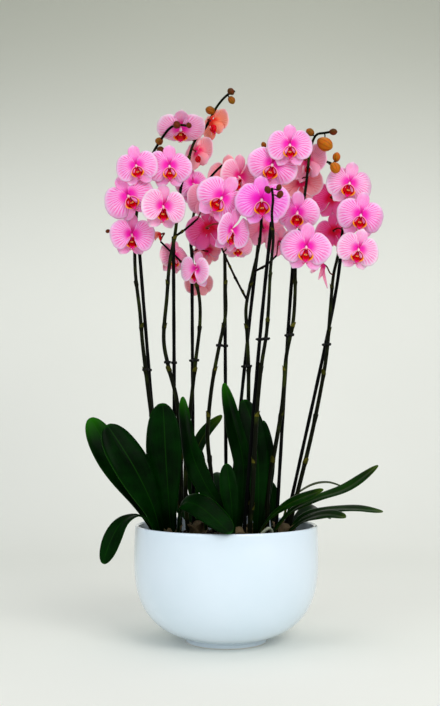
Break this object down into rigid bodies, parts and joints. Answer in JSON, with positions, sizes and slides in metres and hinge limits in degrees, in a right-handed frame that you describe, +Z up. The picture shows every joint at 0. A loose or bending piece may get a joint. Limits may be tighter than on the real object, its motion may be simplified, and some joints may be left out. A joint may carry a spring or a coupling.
{
  "type": "potted orchid",
  "caption": "Round bowl on a low foot, planted with upright moth orchids: arching flower spikes tied to thin stakes over a fan of strap leaves.",
  "frame": {"origin": "centre of the bowl's foot, on its flat underside", "axes": "+Z up, along the bowl's axis and the flower spikes; -Y towards the side that the flowers face"},
  "size_m": [0.522, 0.3497, 0.9684],
  "materials": {
    "white_glaze": "glossy opaque white glaze",
    "orchid_bark": "coarse matte bark and moss",
    "stem_green": "dark olive, slightly waxy",
    "stake_dark": "satin near-black",
    "leaf_green": "waxy deep green",
    "petal_pink": "soft pink with magenta veins"
  },
  "bodies": {
    "root": {"pot": "white_glaze", "growing_medium": "orchid_bark", "flower_spike_1": "stem_green", "flower_spike_2": "stem_green", "flower_spike_3": "stem_green", "flower_spike_4": "stem_green", "flower_spike_5": "stem_green", "flower_spike_6": "stem_green", "flower_spike_7": "stem_green", "flower_spike_8": "stem_green", "support_stake_1": "stake_dark", "support_stake_2": "stake_dark", "support_stake_3": "stake_dark", "support_stake_4": "stake_dark", "support_stake_5": "stake_dark", "support_stake_6": "stake_dark", "support_stake_7": "stake_dark", "support_stake_8": "stake_dark", "leaf_01": "leaf_green", "leaf_02": "leaf_green", "leaf_03": "leaf_green", "leaf_04": "leaf_green", "leaf_05": "leaf_green", "leaf_06": "leaf_green", "leaf_07": "leaf_green", "leaf_08": "leaf_green", "leaf_09": "leaf_green", "leaf_10": "leaf_green", "leaf_11": "leaf_green", "leaf_12": "leaf_green", "leaf_13": "leaf_green", "leaf_14": "leaf_green", "leaf_15": "leaf_green", "leaf_16": "leaf_green", "leaf_17": "leaf_green", "leaf_18": "leaf_green", "leaf_19": "leaf_green", "leaf_20": "leaf_green", "leaf_21": "leaf_green", "leaf_22": "leaf_green", "flower_01": "petal_pink", "flower_02": "petal_pink", "flower_03": "petal_pink", "flower_04": "petal_pink", "flower_05": "petal_pink", "flower_06": "petal_pink", "flower_07": "petal_pink", "flower_08": "petal_pink", "flower_09": "petal_pink", "flower_10": "petal_pink", "flower_11": "petal_pink", "flower_12": "petal_pink", "flower_13": "petal_pink", "flower_14": "petal_pink", "flower_15": "petal_pink", "flower_16": "petal_pink", "flower_17": "petal_pink", "flower_18": "petal_pink", "flower_19": "petal_pink", "flower_20": "petal_pink"}
  },
  "joints": []
}
